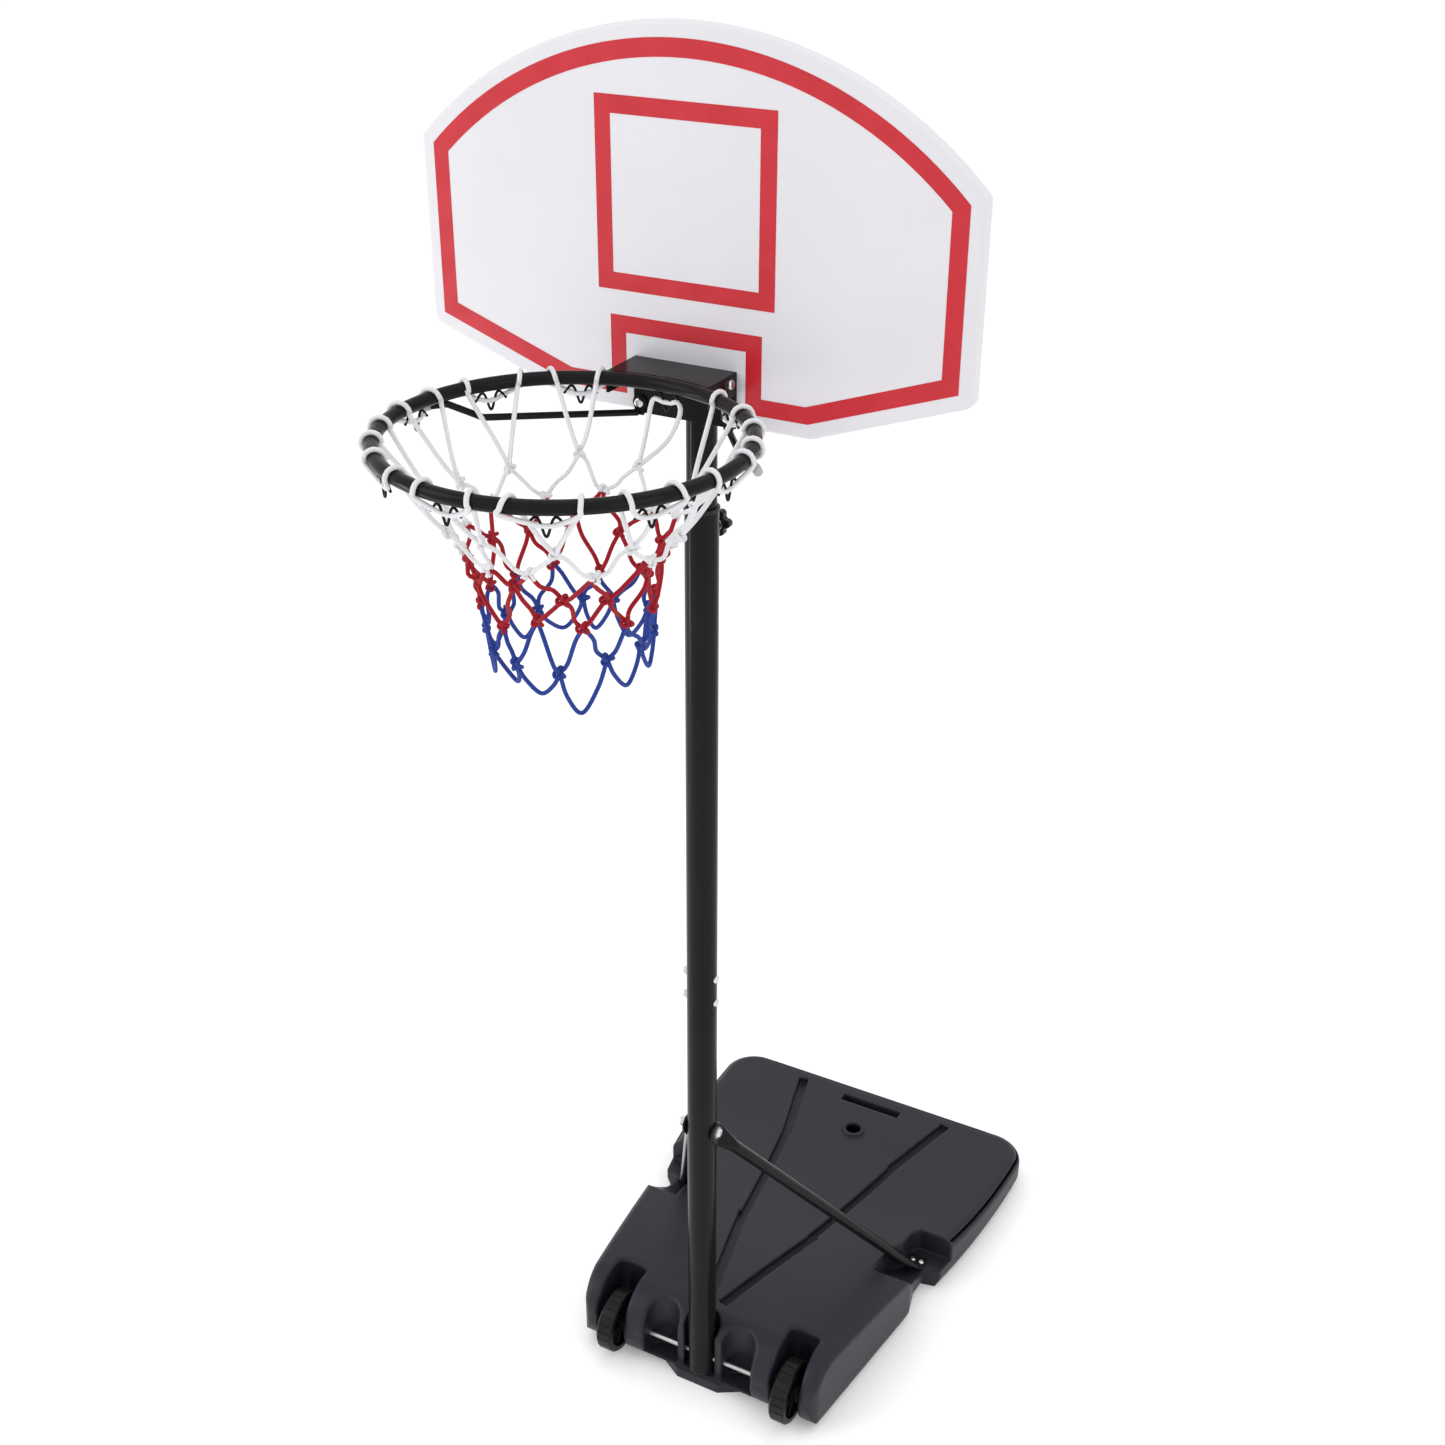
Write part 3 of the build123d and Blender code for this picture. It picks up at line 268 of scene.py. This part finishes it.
class Cords:
    """Collects round cords into one mesh, with UVs of length and turn in millimetres."""

    def __init__(self):
        self.verts, self.faces, self.uvs = [], [], []

    def tube(self, path, radius=CORD_R, closed=False):
        first = len(self.verts)
        count = len(path)
        normal = None
        length = 0.0
        lengths = []
        for i, p in enumerate(path):
            if closed:
                tangent = (path[(i + 1) % count] - path[i - 1]).normalized()
            else:
                tangent = (path[min(i + 1, count - 1)] - path[max(i - 1, 0)]).normalized()
            if normal is None:
                normal = tangent.orthogonal().normalized()
            normal = (normal - tangent * normal.dot(tangent)).normalized()
            side = tangent.cross(normal)
            if i:
                length += (p - path[i - 1]).length
            lengths.append(length * MM)
            for k in range(SIDES):
                turn = 2 * math.pi * k / SIDES
                self.verts.append(p + (normal * math.cos(turn) + side * math.sin(turn)) * radius)
        around = 2 * math.pi * radius * MM
        rings = count if closed else count - 1
        for i in range(rings):
            j = (i + 1) % count
            for k in range(SIDES):
                n = (k + 1) % SIDES
                self.faces.append((first + i * SIDES + k, first + i * SIDES + n, first + j * SIDES + n,
                                   first + j * SIDES + k))
                u0, v0, v1 = lengths[i], around * k / SIDES, around * (k + 1) / SIDES
                u1 = lengths[i + 1] if i + 1 < count else u0 + PATH_STEP * MM
                self.uvs += [(u0, v0), (u0, v1), (u1, v1), (u1, v0)]
        if not closed:
            for i, flip in ((0, True), (count - 1, False)):
                face = [first + i * SIDES + k for k in range(SIDES)]
                self.faces.append(tuple(reversed(face)) if flip else tuple(face))
                self.uvs += [(0.0, 0.0)] * SIDES

    def make(self, name, material):
        mesh = bpy.data.meshes.new(name)
        mesh.from_pydata(self.verts, [], self.faces)
        layer = mesh.uv_layers.new(name="UVMap")
        for loop, uv in zip(layer.data, self.uvs):
            loop.uv = uv
        mesh.polygons.foreach_set("use_smooth", [True] * len(mesh.polygons))
        mesh.materials.append(material)
        mesh.update()
        obj = bpy.data.objects.new(name, mesh)
        bpy.context.scene.collection.objects.link(obj)
        return obj


def polar(radius, degrees, height):
    """A point at a bearing from the ring's axis."""
    a = math.radians(degrees)
    return Vector((RING.x + radius * math.cos(a), RING.y + radius * math.sin(a), height))


KNOT_SIZE = 0.0047
KNOT_POINTS = 30
KNOT_CORD_R = CORD_R * 0.9


def knot(cords, at, degrees):
    """An overhand knot: a trefoil of cord pulled tight round the crossing."""
    a = math.radians(degrees)
    out = Vector((math.cos(a), math.sin(a), 0))
    along = Vector((-math.sin(a), math.cos(a), 0))
    roll = rng.uniform(0, math.pi)
    up = Vector((0, 0, 1))
    across, rise = along * math.cos(roll) + up * math.sin(roll), up * math.cos(roll) - along * math.sin(roll)
    path = []
    for i in range(KNOT_POINTS):
        t = 2 * math.pi * i / KNOT_POINTS
        path.append(at + across * (math.sin(t) + 1.5 * math.sin(2 * t)) * KNOT_SIZE * 0.55
                    + rise * (math.cos(t) - 1.5 * math.cos(2 * t)) * KNOT_SIZE * 0.6
                    - out * math.sin(3 * t) * KNOT_SIZE * 0.6)
    cords.tube(path, KNOT_CORD_R, closed=True)


HOOKS = 12
HOOK_STEP = 360 / HOOKS
HOOK_FIRST = -3.0
# radius and height below the ring's centre of each row of knots, from the top row down
ROWS = [(0.140, 0.074), (0.120, 0.108), (0.108, 0.136), (0.097, 0.181), (0.092, 0.224)]
TAIL = (0.088, 0.256)     # the same for the lowest point of the tail loops
LONG_TAIL = 10            # the tail loop that hangs lower than the rest
LONG_TAIL_DROP = 0.024
TWIST = 0.0035            # how far a limp length strays from its arc
white, red, blue = Cords(), Cords(), Cords()
KNOT_CORDS = [white, white, red, red, blue]
ROW_CORDS = [white, red, red, blue]


def row_point(row, index):
    """Where knot number index of a row hangs; odd rows lie half a step round."""
    radius, drop = ROWS[row]
    shift = HOOK_STEP / 2 if row % 2 else 0.0
    degrees = HOOK_FIRST + index * HOOK_STEP + shift
    pull = random.Random(100 * row + index % HOOKS)
    radius += pull.uniform(-0.009, 0.006)
    drop += pull.uniform(-0.009, 0.009)
    degrees += pull.uniform(-4.0, 4.0)
    return polar(radius, degrees, RING.z - drop), degrees


def slack(a, b, out=0.003, sag=0.004):
    """Path of one limp length of net cord between two knots."""
    middle = (a + b) / 2
    away = Vector((middle.x - RING.x, middle.y - RING.y, 0)).normalized()
    bulge = away * rng.uniform(-out, out) + Vector((0, 0, -rng.uniform(0.2, 1) * sag))
    twist = Vector((rng.uniform(-1, 1), rng.uniform(-1, 1), rng.uniform(-1, 1))) * TWIST
    return smooth_path([a, a.lerp(b, 0.3) + bulge * 0.8 + twist, a.lerp(b, 0.7) + bulge * 0.9 - twist, b])


WRAP_CORD_R = 0.0028
WRAP_R = TUBE_R + WRAP_CORD_R + 0.0002
WRAP_TURNS = (205, 180, 135, 90, 45, 0, -35)    # round the tube, from its inner side over the top
BRACKET_HOOK = 3          # the hook under the rim's bracket, where nothing can go round the ring


def bracket_loop(below, hook_deg):
    """The loop that hangs straight from its hook, under the rim's bracket."""
    return [
        below,
        polar(0.176, hook_deg + 4.5, RING.z - 0.052),
        polar(0.1925, hook_deg + 5.2, RING.z - 0.026),
        polar(0.196, hook_deg + 4.2, RING.z - 0.0165),
        polar(RING_R, hook_deg + 1.5, RING.z - 0.0195),
        polar(0.1985, hook_deg - 1.5, RING.z - 0.0195),
        polar(0.197, hook_deg - 4.6, RING.z - 0.0165),
        polar(0.193, hook_deg - 6.4, RING.z - 0.028),
        polar(0.174, hook_deg - 5.0, RING.z - 0.056),
        below,
    ]


def half_loop(below, hook_deg, side):
    """From a knot up one side of its hook, over the ring and down into the hook."""
    wrap_deg = hook_deg + side * rng.uniform(6.5, 10.5)
    lean = rng.uniform(-1.5, 1.5)
    hang = polar(0.178, hook_deg + side * 6, RING.z - 0.024)
    points = [below, below.lerp(hang, 0.5) + Vector((0, 0, -0.003))]
    for turn in WRAP_TURNS:
        t = math.radians(turn)
        points.append(polar(RING_R + WRAP_R * math.cos(t), wrap_deg + lean * (turn / 90 - 1),
                            RING.z + WRAP_R * math.sin(t)))
    points.append(polar(RING_R + 0.002, hook_deg + side * 4.2, RING.z - TUBE_R - 0.0075))
    points.append(polar(RING_R, hook_deg + side * 1.3, RING.z - TUBE_R - 0.0105))
    return points


for i in range(HOOKS):
    hook_deg = HOOK_FIRST + i * HOOK_STEP
    below, _ = row_point(0, i)
    if i == BRACKET_HOOK:
        path = bracket_loop(below, hook_deg)
    else:
        path = half_loop(below, hook_deg, -1)
        path += reversed(half_loop(below, hook_deg, 1))
    white.tube(smooth_path(path), WRAP_CORD_R)
for row, cords in enumerate(KNOT_CORDS):
    for i in range(HOOKS):
        at, degrees = row_point(row, i)
        knot(cords, at, degrees)
for row, cords in enumerate(ROW_CORDS):
    for i in range(HOOKS):
        here, _ = row_point(row, i)
        left = i - 1 if row % 2 == 0 else i
        for other in (left, left + 1):
            there, _ = row_point(row + 1, other)
            cords.tube(slack(here, there))
for i in range(HOOKS):
    a, a_deg = row_point(len(ROWS) - 1, i)
    b, _ = row_point(len(ROWS) - 1, i + 1)
    drop = TAIL[1] + (LONG_TAIL_DROP if i == LONG_TAIL else rng.uniform(-0.006, 0.006))
    low = polar(TAIL[0] + rng.uniform(-0.010, 0.004), a_deg + HOOK_STEP / 2, RING.z - drop)
    bow = (a - b) * 0.1
    blue.tube(smooth_path([a, a.lerp(low, 0.55) + bow, low, b.lerp(low, 0.55) - bow, b]))

# the second colour of each cord is the painted shade in its plait's grooves
NET_LOOKS = {
    "net_white": (white, cord_material("white cord", rgb(0.90, 0.90, 0.92), rgb(0.68, 0.68, 0.71))),
    "net_red": (red, cord_material("red cord", rgb(0.42, 0.001, 0.013), rgb(0.24, 0.001, 0.008))),
    "net_blue": (blue, cord_material("blue cord", rgb(0.018, 0.055, 0.34), rgb(0.010, 0.030, 0.20))),
}
for name, (cords, material) in NET_LOOKS.items():
    piece = cords.make(name, material)
    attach(piece, "mast")
    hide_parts("net")


# --- weld beads -----------------------------------------------------------------
WELD_BEARINGS = (73, 90, 107)     # where the bracket and the two struts meet the ring
WELD_HALF = 1.8
WELD_RISE = math.radians(40)
WELD_R = 0.0021


def weld_bead(beads, first_deg, last_deg, rise, size):
    """Rippled bead along the outside of the ring between two bearings."""
    steps = int(abs(last_deg - first_deg) * 4)
    for k in range(steps):
        part_deg = first_deg + (last_deg - first_deg) * k / steps
        swell = size * (0.8 + 0.25 * abs(math.sin(k * 0.9)) + rng.uniform(-0.05, 0.05))
        reach = TUBE_R + 0.1 * size
        here = polar(RING_R + reach * math.cos(rise), part_deg, RING.z + reach * math.sin(rise))
        there = polar(RING_R + reach * math.cos(rise), part_deg + 0.55, RING.z + reach * math.sin(rise))
        beads.tube([here, here.lerp(there, 0.5), there], swell)


beads = Cords()
for bearing in WELD_BEARINGS:
    weld_bead(beads, bearing - WELD_HALF, bearing + WELD_HALF, WELD_RISE, WELD_R)
ring_weld = beads.make("ring_weld", MATERIALS["black_steel"])
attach(ring_weld, "mast")


# --- floor, light and camera ------------------------------------------------------
FLOOR_SIZE = 40


def floor_material():
    """Plain pale sweep, lit a little from itself so that it ends as white."""
    m = Nodes("floor")
    m.put("Base Color", m.blend(m.noise(2.0), rgb(0.93, 0.93, 0.935), rgb(0.915, 0.915, 0.92)))
    m.put("Roughness", 0.7)
    m.put("Emission Color", rgb(1.0, 1.0, 1.0))
    m.put("Emission Strength", 0.12)
    return m.mat


bpy.ops.mesh.primitive_plane_add(size=FLOOR_SIZE, location=(0, 0, 0))
floor = bpy.context.object
floor.name = "floor"
floor.data.materials.append(floor_material())

world = bpy.data.worlds.new("studio")
bpy.context.scene.world = world
world.use_nodes = True
world.node_tree.nodes["Background"].inputs["Color"].default_value = (1.0, 1.0, 1.0, 1.0)
world.node_tree.nodes["Background"].inputs["Strength"].default_value = 1.0


def softbox(name, at, aim, size, power):
    """A rectangular lamp of a size in metres, pointed at a place."""
    light = bpy.data.lights.new(name, "AREA")
    light.shape = "RECTANGLE"
    light.size, light.size_y = size
    light.energy = power
    lamp = bpy.data.objects.new(name, light)
    bpy.context.scene.collection.objects.link(lamp)
    lamp.location = at
    lamp.rotation_mode = "QUATERNION"
    lamp.rotation_quaternion = (Vector(aim) - Vector(at)).to_track_quat("-Z", "Y")


softbox("key", (-2.6, -2.6, 3.4), (0, -0.1, 1.0), (1.6, 2.6), 30)
softbox("strip", (-2.2, -1.3, 0.7), (0, 0, 0.9), (0.22, 1.3), 14)
softbox("fill", (3.4, -1.4, 2.2), (0, 0, 1.0), (1.8, 2.4), 16)
softbox("top", (0.3, 0.6, 4.2), (0, 0, 0.5), (3.0, 3.0), 18)

CAMERA_AT = (0.990, -1.830, 2.316)
YAW, PITCH, ROLL = math.radians(27.68), math.radians(28.43), math.radians(-0.32)
camera_data = bpy.data.cameras.new("camera")
camera_data.sensor_width = 36.0
camera_data.lens = 45.666436
camera = bpy.data.objects.new("camera", camera_data)
bpy.context.scene.collection.objects.link(camera)
forward = Vector((-math.sin(YAW) * math.cos(PITCH), math.cos(YAW) * math.cos(PITCH), -math.sin(PITCH)))
right = Vector((math.cos(YAW), math.sin(YAW), 0))
down = forward.cross(right)
rolled_right = right * math.cos(ROLL) + down * math.sin(ROLL)
rolled_down = down * math.cos(ROLL) - right * math.sin(ROLL)
turn = Matrix((rolled_right, -rolled_down, -forward)).transposed().to_4x4()
camera.matrix_world = Matrix.Translation(CAMERA_AT) @ turn
bpy.context.scene.camera = camera
bpy.context.scene.view_settings.view_transform = "Standard"
